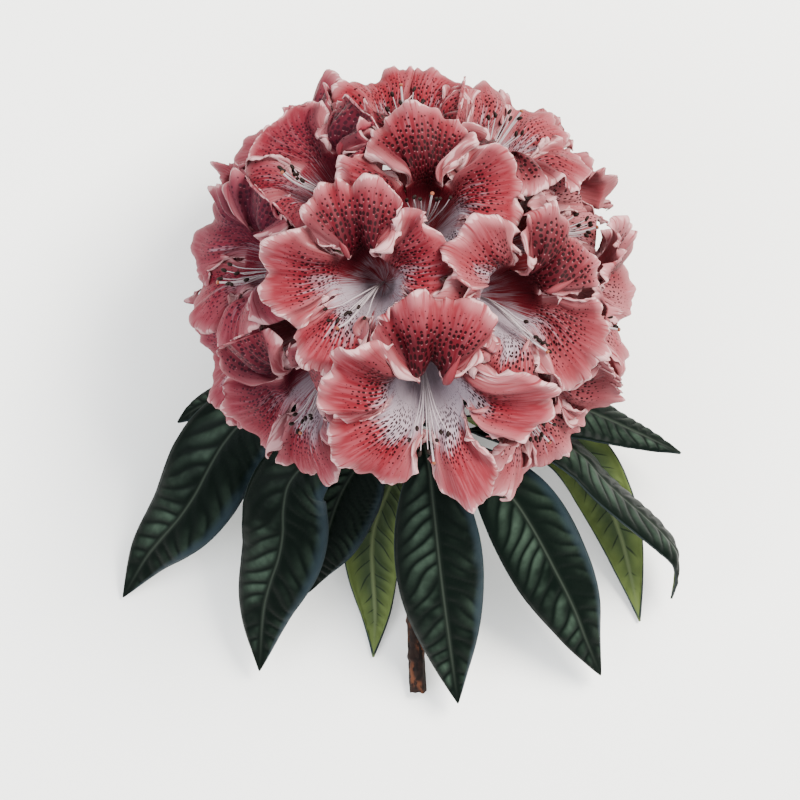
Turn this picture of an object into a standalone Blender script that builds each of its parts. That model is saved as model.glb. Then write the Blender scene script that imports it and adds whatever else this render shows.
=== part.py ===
"""A cut flowering shoot of rhododendron, laid on its back: woody stem, leaf whorl and round truss of blooms.

Sizes in the tables below are millimetres, measured from the heart of the truss, and become metres when a mesh
is made. +Z is up and the shoot points along +Y. Its hind blooms, some leaf tips and the cut end rest on z = 0.
"""

from dataclasses import dataclass, replace
from math import cos, hypot, pi, radians, sin

import bmesh
import bpy
import numpy as np
from mathutils import Vector

MM = 0.001
HEART = np.array((4.62, 46.86, 95.0))  # where the heart of the truss stands over the floor
FLOOR = -HEART[2]
JOINT_GAP = 0.3  # between pieces that meet

# Truss axis and stem, which lie on one line through the heart
SHOOT = np.array((0.0, 0.886, 0.463)) / hypot(0.886, 0.463)
FRONT = np.array((0.0, -0.463, 0.886)) / hypot(0.886, 0.463)
RIGHT = np.array((1.0, 0.0, 0.0))
AXIS_RADIUS = 5.6
AXIS_FOOT = -52.0  # along the shoot's line, from the heart
AXIS_TIP = 12.0
STEM_RADIUS = 4.2
STEM_BEND = np.array((1.0, -120.0, -61.0))
CUT_END = np.array((4.0, -187.0, FLOOR + 3.9))

# One bloom: a funnel of five lobes, the spotted one uppermost
TUBE_LENGTH = 33.0
TUBE_RADII = ((0.0, 4.0), (0.45, 8.0), (1.0, 15.5))  # share of the tube's length, radius
THROAT_RADIUS = TUBE_RADII[-1][1]
THROAT_SLOPE = 20.0  # degrees from the bloom's axis
LOBES = 5
SECTOR = 2 * pi / LOBES
SLIT_HALF = THROAT_RADIUS * sin(SECTOR / 2)
SLIT_GAP = 0.5
LOBE_FAN = radians(46.0)  # how far a lobe's side edges spread
SIDE_REACH = 0.7  # a lobe's length at its sides, of that at its middle
PETAL = 0.9
LOBE_COLUMNS = 4
LOBE_ROWS = 3
TUBE_ROWS = 2

# How neighbouring blooms share the space where their lobes overlap
MOUTH_RISE = 12.0  # a bloom's mouth lies this far outside its throat
RANK_STEP = 4.0  # a difference in height that lays one bloom's lobes wholly over another's
LAP_SLOPE = 3.0
LAP_REACH = 18.0  # how far lobes lie past the halfway plane
TUCK_SLOPE = 1.8
TUCK_DEPTH = 12.0
PETAL_MARGIN = 1.5
NEIGHBOUR_COSINE = 0.1  # blooms that face further apart never meet
SETTLE_ROUNDS = 25
ROOM_STEPS = (1.0, 0.92, 0.84, 0.76, 0.68, 0.6)
MOST_PRESSED = 9.0  # how far a neighbour may bend a lobe before it stays shorter

# Flower stalks
STALK_RADIUS = 1.2
STALK_SPREAD = 14.0  # how far along the axis their roots are strung out

# Leaves
LEAF_THICKNESS = 1.7
LEAF_COLUMNS = 4
LEAF_ROWS = 13
PETIOLE_SHARE = 0.14
PETIOLE_WIDTH = 2.6
PETIOLE_STAND = 7.0  # how far the petiole stands straight out from the stem
LEAF_ARCH = 0.22  # how far the blade's margins bend back, of its half width
ROOT_SPACING = 2.3  # between leaves, along the stem


@dataclass
class Lobe:
    """reach is its length past the throat; opening and curl are degrees from the bloom's axis."""

    reach: float = 36.0
    opening: float = 82.0
    curl: float = 30.0
    cup: float = 0.0
    bend: float = 20.0


UPPER = Lobe(39, 80, 45, -0.010, 22)
SIDE = Lobe(38, 84, 30, 0.004)
LOWER = Lobe(38, 80, 35, -0.004)
WIDE_OPEN = (UPPER, SIDE, LOWER, LOWER, SIDE)
HALF_OPEN = (Lobe(38, 62, 40), Lobe(38, 62, 30), Lobe(37, 60, 30), Lobe(37, 60, 30), Lobe(38, 62, 30))
FRONT_BLOOM = (
    Lobe(48, 74, 78, -0.015, 16),
    Lobe(47, 84, 25),
    replace(LOWER, reach=45),
    replace(LOWER, reach=42),
    Lobe(40, 84, 35),
)
RIGHT_BLOOM = (replace(UPPER, reach=36, curl=65), SIDE, LOWER, LOWER, SIDE)


@dataclass
class Bloom:
    """out points from the heart to the throat, up to where the upper lobe stands."""

    out: tuple
    throat: float
    up: tuple = tuple(SHOOT)
    lobes: tuple = WIDE_OPEN
    size: float = 1.0


BLOOMS = (
    Bloom((0.08, -0.50, 0.85), 93, (0.0, 1.0, 0.0), FRONT_BLOOM, 1.05),
    Bloom((0.08, 0.39, 0.92), 80, (0.0, 1.0, 0.0)),
    Bloom((-0.22, 0.0, 0.97), 84, (-0.1, 1.0, 0.0)),
    Bloom((0.50, -0.10, 0.86), 88, (0.7, 0.7, 0.0), RIGHT_BLOOM, 1.03),
    Bloom((-0.59, -0.59, 0.55), 78, (-0.6, 0.6, 0.2)),
    Bloom((-0.91, -0.34, 0.23), 74, lobes=HALF_OPEN),
    Bloom((-0.84, 0.12, 0.53), 78),
    Bloom((-0.50, 0.60, 0.62), 75),
    Bloom((-0.64, 0.74, 0.12), 75, lobes=HALF_OPEN),
    Bloom((-0.02, 0.89, 0.43), 76, (0.0, 0.3, 1.0), HALF_OPEN, 0.9),
    Bloom((0.48, 0.76, 0.40), 76, (0.3, 0.3, 1.0)),
    Bloom((0.86, 0.40, 0.30), 71),
    Bloom((0.98, -0.10, 0.15), 77, lobes=HALF_OPEN),
    Bloom((0.69, -0.66, 0.30), 77, lobes=HALF_OPEN),
    Bloom((-0.60, 0.06, -0.80), 75),
    Bloom((0.60, 0.12, -0.79), 77),
    Bloom((0.00, 0.55, -0.835), 72),
    Bloom((-0.81, 0.42, -0.40), 70),
    Bloom((0.72, 0.62, -0.31), 74, lobes=HALF_OPEN),
    Bloom((0.00, -0.05, -1.0), 70),
)


@dataclass
class Leaf:
    """turn is the side of the stem it grows on, in degrees from the front; face is where its upper side looks."""

    turn: float
    row: int
    width: float
    face: tuple
    path: tuple


LEAVES = (
    Leaf(-105, 3, 32, (-0.1, 0.6, 1.0), ((-79, -51, -46), (-97, -55, -51), (-107, -62, -55))),
    Leaf(-80, 1, 39, (0.1, 0.3, 1.0), ((-72, -59, -31), (-103, -102, -53), (-121, -123, -73), (-134, -144, -92))),
    Leaf(-38, 2, 39, (-0.1, 0.2, 1.0), ((-52, -85, -21), (-59, -120, -40), (-67, -146, -59), (-70, -178, -83))),
    Leaf(-64, 6, 38, (0.2, 0.2, 1.0), ((-30, -92, -42), (-40, -120, -54), (-47, -141, -70))),
    Leaf(-150, 6, 26, (0.0, 0.0, -1.0), ((-6, -82, -58), (-17, -114, -77), (-16, -152, -91), (-17, -172, -93.5))),
    Leaf(0, 0, 39, (0.0, 0.2, 1.0), ((7.5, -76, -7), (11, -103, -17), (15, -138, -39), (22.5, -193, -81))),
    Leaf(40, 3, 38, (0.1, 0.2, 1.0), ((45, -94, -23), (71, -138, -50), (81.5, -162, -67), (89, -180, -83))),
    Leaf(132, 5, 26, (0.1, 0.0, -1.0), ((69, -70, -59), (94, -104, -77), (106, -146, -91), (107.6, -155, -93.5))),
    Leaf(72, 6, 30, (1.0, 0.6, 0.45), ((67, -70, -37), (93, -92, -43), (123, -121, -61), (122, -144, -77))),
    Leaf(92, 1, 32, (0.0, 0.8, 0.7), ((71, -54, -43), (97, -63, -48), (125, -76, -55))),
)


def unit(vector):
    return np.asarray(vector, float) / np.linalg.norm(vector)


def to_world(points):
    return [Vector(HEART + point) * MM for point in points]


def smooth_path(knots, count):
    """count points at even distances along a smooth curve through the knots."""
    knots = np.asarray(knots, float)
    ends = np.vstack((2 * knots[0] - knots[1], knots, 2 * knots[-1] - knots[-2]))
    fine = []
    for before, start, stop, after in zip(ends, ends[1:], ends[2:], ends[3:]):
        for t in np.linspace(0, 1, 20, endpoint=False):
            curve = 2 * start + (stop - before) * t + (2 * before - 5 * start + 4 * stop - after) * t**2
            fine.append((curve + (3 * start - before - 3 * stop + after) * t**3) / 2)
    fine.append(knots[-1])
    fine = np.array(fine)
    run = np.concatenate(([0], np.cumsum(np.linalg.norm(np.diff(fine, axis=0), axis=1))))
    places = np.linspace(0, run[-1], count)
    return np.column_stack([np.interp(places, run, fine[:, k]) for k in range(3)])


def bloom_frame(bloom):
    """The bloom's axis, the way to its upper lobe and the way across."""
    axis = unit(bloom.out)
    up = np.asarray(bloom.up, float)
    up = unit(up - axis * (up @ axis))
    return axis, up, np.cross(up, axis)


def lobe_profile(lobe, past):
    """Radius and height over the throat, at a distance past it along the lobe's middle line."""
    steps = np.linspace(0, lobe.reach * 1.3, 60)
    opened = np.clip(steps / lobe.bend, 0, 1)
    opened = opened**2 * (3 - 2 * opened)
    lean = THROAT_SLOPE + (lobe.opening - THROAT_SLOPE) * opened + lobe.curl * (steps / lobe.reach) ** 3
    middle = np.radians((lean[1:] + lean[:-1]) / 2)
    radius = np.concatenate(([0], np.cumsum(np.diff(steps) * np.sin(middle))))
    height = np.concatenate(([0], np.cumsum(np.diff(steps) * np.cos(middle))))
    return np.interp(past, steps, radius), np.interp(past, steps, height)


def tube_points(bloom, turn, across, share):
    """Points of the funnel, at a share of its length."""
    axis, up, side = bloom_frame(bloom)
    radius = np.interp(share, *zip(*TUBE_RADII))
    angle = turn + across * SECTOR / 2
    round_axis = np.outer(radius * np.cos(angle), up) + np.outer(radius * np.sin(angle), side)
    return round_axis + np.outer((share - 1) * TUBE_LENGTH, axis)


def blade_points(bloom, lobe, turn, across, past):
    """Points of one lobe, a fan that opens out of its fifth of the throat."""
    axis, up, side = bloom_frame(bloom)
    reach = lobe.reach * (1 - (1 - SIDE_REACH) * np.abs(across) ** 2.2)
    lateral = across * SLIT_HALF + past * reach * np.sin(across * LOBE_FAN)
    forward = past * reach * np.cos(across * LOBE_FAN)
    radius, height = lobe_profile(lobe, forward)
    radius = radius + THROAT_RADIUS - lateral**2 / 2 / (THROAT_RADIUS + 2.2 * forward)
    height = height + lobe.cup * lateral**2
    widest = radius * np.tan(SECTOR / 2) - SLIT_GAP * past
    lateral = np.clip(lateral, -widest, widest)
    outward = cos(turn) * up + sin(turn) * side
    sideways = cos(turn) * side - sin(turn) * up
    return np.outer(radius, outward) + np.outer(lateral, sideways) + np.outer(height, axis)


def corolla_points(bloom, lobe, turn, across, along):
    """Points of one fifth of the corolla: along is -1 at its foot, 0 at the throat and 1 at the lobe's tip."""
    tube = tube_points(bloom, turn, across, np.clip(along + 1, 0, 1))
    blade = blade_points(bloom, lobe, turn, across, np.clip(along, 0, 1))
    local = np.where((along <= 0)[:, None], tube, blade)
    return unit(bloom.out) * bloom.throat + local * bloom.size


def mouth(bloom):
    return bloom.throat + MOUTH_RISE * bloom.size


def lap(points, own, other):
    """How far points lie on their own bloom's side of the surface between two blooms, and the way off it.

    Low down this surface is the plane halfway between the two. Around the mouths it leans over the bloom that
    stands lower, so the higher one's lobes lie on the lower one's.
    """
    apart = unit(unit(own.out) - unit(other.out))
    rank = np.clip((own.throat - other.throat) / RANK_STEP, -1, 1)
    distance = np.linalg.norm(points, axis=1)
    over = distance - (mouth(own) + mouth(other)) / 2
    fade = np.exp(-((over / TUCK_DEPTH) ** 2))
    lapped = np.tanh(LAP_SLOPE * np.maximum(over, 0) / LAP_REACH)
    shift = np.where(over > 0, LAP_REACH * lapped, TUCK_SLOPE * over * fade)
    tuck_slope = TUCK_SLOPE * fade * (1 - 2 * (over / TUCK_DEPTH) ** 2)
    slope = np.where(over > 0, LAP_SLOPE * (1 - lapped**2), tuck_slope)
    clear = points @ apart + rank * shift
    way = apart + (rank * slope / distance)[:, None] * points
    return clear, way


def settle(points, own):
    """Moves points off the neighbouring blooms and up from the floor."""
    neighbours = [b for b in BLOOMS if b is not own and unit(b.out) @ unit(own.out) > NEIGHBOUR_COSINE]
    for _ in range(SETTLE_ROUNDS):
        for other in neighbours:
            clear, way = lap(points, own, other)
            short = np.minimum(clear - PETAL_MARGIN, 0)
            points = points - (short / (way**2).sum(axis=1))[:, None] * way
        points[:, 2] = np.maximum(points[:, 2], FLOOR + PETAL / 2)
    return points


def grown_lobe(bloom, index):
    """A bloom's lobe, as long as its neighbours leave room for."""
    across = np.array([-1, -0.5, 0, 0.5, 1, -1, 1])
    along = np.array([1, 1, 1, 1, 1, 0.5, 0.5])
    for share in ROOM_STEPS:
        lobe = replace(bloom.lobes[index], reach=bloom.lobes[index].reach * share)
        free = corolla_points(bloom, lobe, index * SECTOR, across, along)
        pressed = np.linalg.norm(settle(free.copy(), bloom) - free, axis=1).max()
        if pressed < MOST_PRESSED:
            break
    return lobe


def material(name, colour, roughness):
    made = bpy.data.materials.new(name)
    made.use_nodes = True
    shader = made.node_tree.nodes["Principled BSDF"]
    shader.inputs["Base Color"].default_value = (*colour, 1)
    shader.inputs["Roughness"].default_value = roughness
    return made


def add_object(name, data, finish):
    data.materials.append(finish)
    made = bpy.data.objects.new(name, data)
    collection.objects.link(made)
    return made


def add_shell(name, bm, thickness, finish):
    """An object of the open surface in bm, thickened to both sides."""
    bmesh.ops.recalc_face_normals(bm, faces=bm.faces)
    mesh = bpy.data.meshes.new(name)
    bm.to_mesh(mesh)
    bm.free()
    made = add_object(name, mesh, finish)
    shell = made.modifiers.new("thickness", "SOLIDIFY")
    shell.thickness = thickness * MM
    shell.offset = 0


def add_tube(name, points, radius, resolution, finish):
    curve = bpy.data.curves.new(name, "CURVE")
    curve.dimensions = "3D"
    curve.bevel_depth = radius * MM
    curve.bevel_resolution = resolution
    curve.use_fill_caps = True
    spline = curve.splines.new("POLY")
    spline.points.add(len(points) - 1)
    for spot, point in zip(spline.points, to_world(points)):
        spot.co = (*point, 1)
    return add_object(name, curve, finish)


def add_bloom(name, bloom, finish):
    """Five fifths of a funnel, welded along the tube and free from each other past the throat."""
    bm = bmesh.new()
    rows = TUBE_ROWS + LOBE_ROWS
    for index in range(LOBES):
        verts = bmesh.ops.create_grid(bm, x_segments=LOBE_COLUMNS, y_segments=rows, size=1)["verts"]
        across = np.array([v.co.x for v in verts])
        step = np.round([(v.co.y + 1) / 2 * rows for v in verts])
        along = np.where(step < TUBE_ROWS, step / TUBE_ROWS - 1, (step - TUBE_ROWS) / LOBE_ROWS)
        lobe = grown_lobe(bloom, index)
        points = settle(corolla_points(bloom, lobe, index * SECTOR, across, along), bloom)
        for vert, point in zip(verts, to_world(points)):
            vert.co = point
    bmesh.ops.remove_doubles(bm, verts=bm.verts, dist=0.02 * MM)
    foot = to_world([unit(bloom.out) * (bloom.throat - TUBE_LENGTH * bloom.size)])[0]
    near = 1.2 * TUBE_RADII[0][1] * bloom.size * MM
    rim = [e for e in bm.edges if e.is_boundary and all((v.co - foot).length < near for v in e.verts)]
    bmesh.ops.edgeloop_fill(bm, edges=rim)
    add_shell(name, bm, PETAL, finish)


def add_stalk(name, bloom, finish):
    """A straight stalk from the truss axis to a bloom's foot, its cap just clear of the axis's round side."""
    way_out = unit(bloom.out)
    foot = way_out * (bloom.throat - TUBE_LENGTH * bloom.size - PETAL / 2 - JOINT_GAP)
    lean = way_out @ SHOOT
    root = SHOOT * min(STALK_SPREAD * lean, AXIS_TIP - AXIS_RADIUS)
    way = unit(foot - root)
    along = way @ SHOOT
    across = np.sqrt(1 - along**2)
    at_tip = root @ SHOOT + AXIS_RADIUS * along / max(across, 0.01) > AXIS_TIP - AXIS_RADIUS
    if at_tip:
        root = SHOOT * (AXIS_TIP - AXIS_RADIUS)
        way = unit(foot - root)
        start = root + way * (AXIS_RADIUS + JOINT_GAP)
    else:
        start = root + way * (AXIS_RADIUS + JOINT_GAP + STALK_RADIUS * abs(along)) / across
    add_tube(name, smooth_path((start, foot), 3), STALK_RADIUS, 1, finish)


def add_axis(name, finish):
    """The truss axis, turned round the shoot's line, with a domed tip."""
    dome = [radians(a) for a in range(0, 91, 15)]
    profile = [(AXIS_RADIUS * sin(a), AXIS_TIP - AXIS_RADIUS * (1 - cos(a))) for a in dome]
    profile += [(STEM_RADIUS, AXIS_FOOT), (0, AXIS_FOOT)]
    mesh = bpy.data.meshes.new(name)
    mesh.from_pydata([(r * MM, 0, h * MM) for r, h in profile], [(i, i + 1) for i in range(len(profile) - 1)], [])
    made = add_object(name, mesh, finish)
    made.location = HEART * MM
    made.rotation_euler = Vector(SHOOT).to_track_quat("Z", "X").to_euler()
    turned = made.modifiers.new("turned", "SCREW")
    turned.steps = turned.render_steps = 16
    turned.use_merge_vertices = True
    turned.merge_threshold = 0.00001


def stem_line(count=8):
    """The stem's middle line, from just under the truss axis to the cut."""
    return smooth_path((SHOOT * (AXIS_FOOT - JOINT_GAP), STEM_BEND, CUT_END), count)


def leaf_frames(leaf):
    """Points along a leaf's midrib, with the way across and the way its upper side looks at each."""
    line = stem_line(200)
    root = line[round(ROOT_SPACING * (leaf.row + 1) / np.linalg.norm(line[1] - line[0]))]
    side = cos(radians(leaf.turn)) * FRONT + sin(radians(leaf.turn)) * RIGHT
    start = root + side * (STEM_RADIUS + 2 * JOINT_GAP)
    knots = (start, start + side * PETIOLE_STAND - SHOOT * 1.5, *leaf.path)
    middle = smooth_path(knots, LEAF_ROWS + 1)
    tangent = np.gradient(middle, axis=0)
    tangent[0] = side
    tangent /= np.linalg.norm(tangent, axis=1)[:, None]
    blend = np.clip(np.linspace(0, 3, LEAF_ROWS + 1), 0, 1)[:, None]
    look = SHOOT * (1 - blend) + unit(leaf.face) * blend
    look -= (look * tangent).sum(axis=1)[:, None] * tangent
    look /= np.linalg.norm(look, axis=1)[:, None]
    return middle, np.cross(tangent, look), look


def leaf_half_width(leaf, share):
    """Half the leaf's width: a narrow petiole, then a blade widest past its middle, with a pointed tip."""
    blade = np.clip((share - PETIOLE_SHARE) / (1 - PETIOLE_SHARE), 0, 1)
    outline = np.sin(pi * blade**0.9) ** 0.8 * (1 - 0.35 * blade**6)
    return PETIOLE_WIDTH / 2 * (1 - 0.8 * blade) + leaf.width / 2 * outline


def add_leaf(name, leaf, finish):
    middle, sideways, look = leaf_frames(leaf)
    bm = bmesh.new()
    verts = bmesh.ops.create_grid(bm, x_segments=LEAF_COLUMNS, y_segments=LEAF_ROWS, size=1)["verts"]
    across = np.array([v.co.x for v in verts])
    row = np.array([round((v.co.y + 1) / 2 * LEAF_ROWS) for v in verts])
    half = leaf_half_width(leaf, row / LEAF_ROWS)
    arch = LEAF_ARCH * np.maximum(half - PETIOLE_WIDTH, 0) * across**2
    points = middle[row] + (across * half)[:, None] * sideways[row] - arch[:, None] * look[row]
    points[:, 2] = np.maximum(points[:, 2], FLOOR + LEAF_THICKNESS / 2)
    for vert, point in zip(verts, to_world(points)):
        vert.co = point
    add_shell(name, bm, LEAF_THICKNESS, finish)


for leftover in list(bpy.data.objects):
    bpy.data.objects.remove(leftover)
collection = bpy.data.collections.new("rhododendron_branch")
bpy.context.scene.collection.children.link(collection)

bark = material("bark", (0.10, 0.05, 0.03), 0.9)
green_axis = material("green_axis", (0.20, 0.26, 0.10), 0.6)
petal_pink = material("petal_pink", (0.62, 0.16, 0.17), 0.6)
leaf_green = material("leaf_green", (0.02, 0.05, 0.025), 0.35)

add_tube("stem", stem_line(), STEM_RADIUS, 4, bark)
add_axis("truss_axis", green_axis)
for number, bloom in enumerate(BLOOMS, 1):
    add_bloom(f"bloom_{number:02d}", bloom, petal_pink)
    add_stalk(f"stalk_{number:02d}", bloom, green_axis)
for number, leaf in enumerate(LEAVES, 1):
    add_leaf(f"leaf_{number:02d}", leaf, leaf_green)
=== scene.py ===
"""A cut flowering shoot of rhododendron: the petals, stamens, stalks, leaves and bark round its solids.

Sizes in the tables are millimetres from the heart of the truss, and become metres when a mesh is made.
"""

from dataclasses import dataclass, replace
from math import cos, hypot, pi, radians, sin

import bpy
import numpy as np
from bpy.props import FloatProperty, FloatVectorProperty, IntProperty, PointerProperty
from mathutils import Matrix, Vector


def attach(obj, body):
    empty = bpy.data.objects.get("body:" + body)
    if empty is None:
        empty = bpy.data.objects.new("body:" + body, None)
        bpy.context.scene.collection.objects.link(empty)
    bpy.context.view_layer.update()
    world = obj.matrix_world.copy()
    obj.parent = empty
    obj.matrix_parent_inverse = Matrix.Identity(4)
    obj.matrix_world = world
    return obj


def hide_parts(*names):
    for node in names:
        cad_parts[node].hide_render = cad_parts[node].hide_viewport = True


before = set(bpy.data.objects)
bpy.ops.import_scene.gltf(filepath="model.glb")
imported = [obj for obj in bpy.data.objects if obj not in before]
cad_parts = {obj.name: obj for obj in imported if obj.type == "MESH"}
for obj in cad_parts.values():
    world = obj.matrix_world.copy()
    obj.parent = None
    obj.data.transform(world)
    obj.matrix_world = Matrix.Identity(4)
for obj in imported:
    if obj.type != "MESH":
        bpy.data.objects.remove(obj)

bl_info = {
    "name": "Rhododendron Shoot",
    "version": (1, 0, 0),
    "blender": (4, 5, 0),
    "location": "3D View > Sidebar > Rhododendron",
    "description": "Models a cut flowering shoot of rhododendron, lying on its back",
    "category": "Add Mesh",
}

MM = 0.001
HEART = np.array((4.62, 46.86, 95.0))  # where the heart of the truss stands over the floor
FLOOR = -HEART[2]

# Truss axis, on a line through the heart, and the stem that goes on from it
SHOOT = np.array((0.0, 0.886, 0.463)) / hypot(0.886, 0.463)
FRONT = np.array((0.0, -0.463, 0.886)) / hypot(0.886, 0.463)
RIGHT = np.array((1.0, 0.0, 0.0))
JOINT_GAP = 0.3
AXIS_RADIUS = 5.6
AXIS_FOOT = -52.0  # along the shoot's line, from the heart
AXIS_TIP = 12.0
AXIS_DOME = AXIS_TIP - AXIS_RADIUS  # where its round tip begins
STEM_RADIUS = 4.2
STEM_BEND = np.array((1.0, -120.0, -61.0))
CUT_END = np.array((4.0, -187.0, FLOOR + 3.9))

# One bloom: a funnel of five lobes, the spotted one uppermost
TUBE_LENGTH = 33.0
TUBE_CURVE = (4.0, 6.75, 4.75)  # radius over the tube's length, by rising powers of the share
TUBE_FOOT = 0.08  # share of the tube that its round foot takes
THROAT_RADIUS = 15.5
THROAT_SLOPE = 20.0  # degrees from the bloom's axis
LOBES = 5
SECTOR = 2 * pi / LOBES
CROSS_BEND = 2.2  # how fast a lobe flattens across, from the throat's own radius
SHOULDER = 0.46  # where a lobe is widest, of its length
WAIST = 3.5  # how far a lobe's sides draw in between the throat and there
LOBE_OVERLAP = 3.5  # how far a lobe reaches over its sibling's half
LAYER = 2.2  # how far the edge that lies in front stands off the middle
HOOD_OVERLAP = 8.0  # the same two for the upper lobe, which arches over both its neighbours
HOOD_LAYER = 3.6
LAYERS = ((1, 1), (-1, 1), (-1, 1), (-1, -1), (1, -1))  # which edges of the lobes lie in front
DRIFT = (0, 12, 5, -5, -12)  # degrees that each lobe swings round
FRONT_DRIFT = (0, 24, 9, 9, -4)
RUFFLE = 11.5  # length of one crimp along the margin
PLEAT = 4.9
WAVE = 34.0
POUCH_ASIDE = 8.5
POUCH_FORWARD = 6.5
SPOTTED = 39.0  # how far past the throat the upper lobe's spots go
SIDE_SPOTTED = 31.0
SOLID_PETAL = 0.9
SOLID_SPREAD = 46.0  # degrees between a solid lobe's middle line and its sides

# How neighbouring blooms share the space where their lobes overlap
MOUTH_RISE = 12.0
RANK_STEP = 4.0
LAP_SLOPE = 3.0
LAP_REACH = 18.0
TUCK_SLOPE = 1.8
TUCK_DEPTH = 12.0
SOLID_MARGIN = 1.5
PETAL_MARGIN = 0.5
NEIGHBOUR_COSINE = 0.1
HIND = -0.2  # a bloom whose way is lower than this lies behind the others
SETTLE_ROUNDS = 25
ROOM_STEPS = (1.0, 0.92, 0.84, 0.76, 0.68, 0.6)
MOST_PRESSED = 15.0

# Seeds of the random draws
STAMEN_SEED = 500
LEAF_SEED = 900
STEM_SEED = 77

# Flower stalks
STALK_RADIUS = 1.2
STALK_SPREAD = 14.0
CALYX_RADIUS = 4.5
CALYX_DEPTH = 2.6

# Leaves
PETIOLE_SHARE = 0.14
PETIOLE_WIDTH = 2.6
PETIOLE_STAND = 7.0
LEAF_ARCH = 0.22
LEAF_KNOTS = 14
ROOT_SPACING = 2.3
VEIN_PAIRS = 16
VEIN_LEAN = 0.85  # how far a side vein runs forward for each millimetre outward
VEIN_BEND = 0.024

# Bark: how often its waves go round and along the stem, and how deep they are
BARK_WAVES = ((2, 9, 0.22), (3, 23, 0.16), (5, 41, 0.12), (9, 17, 0.10), (13, 60, 0.07))
LEAF_SCARS = 9

# The camera
VIEW_MIDDLE = (-4.5, -51.75, 0.0)  # from the heart
SENSOR = 36.0


@dataclass
class Lobe:
    """reach is its length past the throat; opening and curl are degrees from the bloom's axis."""

    reach: float = 36.0
    opening: float = 82.0
    curl: float = 30.0
    cup: float = 0.0
    bend: float = 20.0
    width: float = 50.0


UPPER = Lobe(39, 80, 45, -0.010, 22, 52)
SIDE = Lobe(38, 84, 30, 0.004, width=46)
LOWER = Lobe(38, 80, 35, -0.004, width=41)
WIDE_OPEN = (UPPER, SIDE, LOWER, LOWER, SIDE)
HALF_OPEN = (Lobe(38, 62, 40), Lobe(38, 62, 30), Lobe(37, 60, 30), Lobe(37, 60, 30), Lobe(38, 62, 30))
FRONT_BLOOM = (
    Lobe(45, 74, 88, -0.015, 16, 54),
    Lobe(47, 84, 25, width=38),
    replace(LOWER, reach=46, width=29),
    replace(LOWER, reach=40, width=42),
    Lobe(40, 84, 35, width=42),
)
TOP_BLOOM = tuple(replace(lobe, reach=34, curl=lobe.curl + 30) for lobe in HALF_OPEN)
RIGHT_BLOOM = (replace(UPPER, reach=36, curl=65), SIDE, LOWER, replace(LOWER, width=46), SIDE)


@dataclass
class Bloom:
    """out points from the heart to the throat, up to where the upper lobe stands."""

    out: tuple
    throat: float
    up: tuple = tuple(SHOOT)
    lobes: tuple = WIDE_OPEN
    size: float = 1.0
    nod: tuple = (0.0, 0.0, 0.0)  # turns the funnel away from out
    pouch: float = 5.0  # how far the two bulges over the throat stand proud
    lean: tuple = (0.0, 11.0, 15.0)  # how far sideways, down and out the stamens' ends lie
    white: float = 0.4  # how white its throat is
    drift: tuple = DRIFT

    @property
    def way(self):
        return unit(self.out)


BLOOMS = (
    Bloom(
        (0.08, -0.50, 0.85), 93, (0, 1, 0), FRONT_BLOOM, 1.05, nod=(0, -0.06, 0), pouch=9.0,
        lean=(0, 22, 14), white=1.0, drift=FRONT_DRIFT,
    ),
    Bloom((0.08, 0.39, 0.92), 80, (0, 1, 0), lean=(0, 4, 22), white=0.8),
    Bloom((-0.22, 0.0, 0.97), 84, (-0.1, 1, 0), pouch=6.5, lean=(-9, 17, 12), white=0.85),
    Bloom((0.50, -0.10, 0.86), 88, (0.7, 0.7, 0), RIGHT_BLOOM, 1.03, pouch=6.5, lean=(17, 8, 13), white=0.85),
    Bloom((-0.59, -0.59, 0.55), 78, (-0.6, 0.6, 0.2), white=0.7),
    Bloom((-0.91, -0.34, 0.23), 74, lobes=HALF_OPEN),
    Bloom((-0.84, 0.12, 0.53), 78),
    Bloom((-0.50, 0.60, 0.62), 77, drift=(0, -6, 3, -5, -12)),
    Bloom((-0.64, 0.74, 0.12), 75, lobes=HALF_OPEN),
    Bloom((-0.02, 0.89, 0.43), 76, (0, 0.3, 1), TOP_BLOOM, 0.9),
    Bloom((0.48, 0.76, 0.40), 76, (0.3, 0.3, 1)),
    Bloom((0.86, 0.40, 0.30), 71),
    Bloom((0.98, -0.10, 0.15), 77, lobes=HALF_OPEN),
    Bloom((0.69, -0.66, 0.30), 77, lobes=HALF_OPEN),
    Bloom((-0.60, 0.06, -0.80), 75),
    Bloom((0.60, 0.12, -0.79), 77),
    Bloom((0.00, 0.55, -0.835), 72),
    Bloom((-0.81, 0.42, -0.40), 70),
    Bloom((0.72, 0.62, -0.31), 74, lobes=HALF_OPEN),
    Bloom((0.00, -0.05, -1.0), 70),
)


@dataclass
class Leaf:
    """turn says on which side of the stem it grows, in degrees; its upper side looks to face."""

    turn: float
    row: int
    width: float
    face: tuple
    path: tuple


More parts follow.
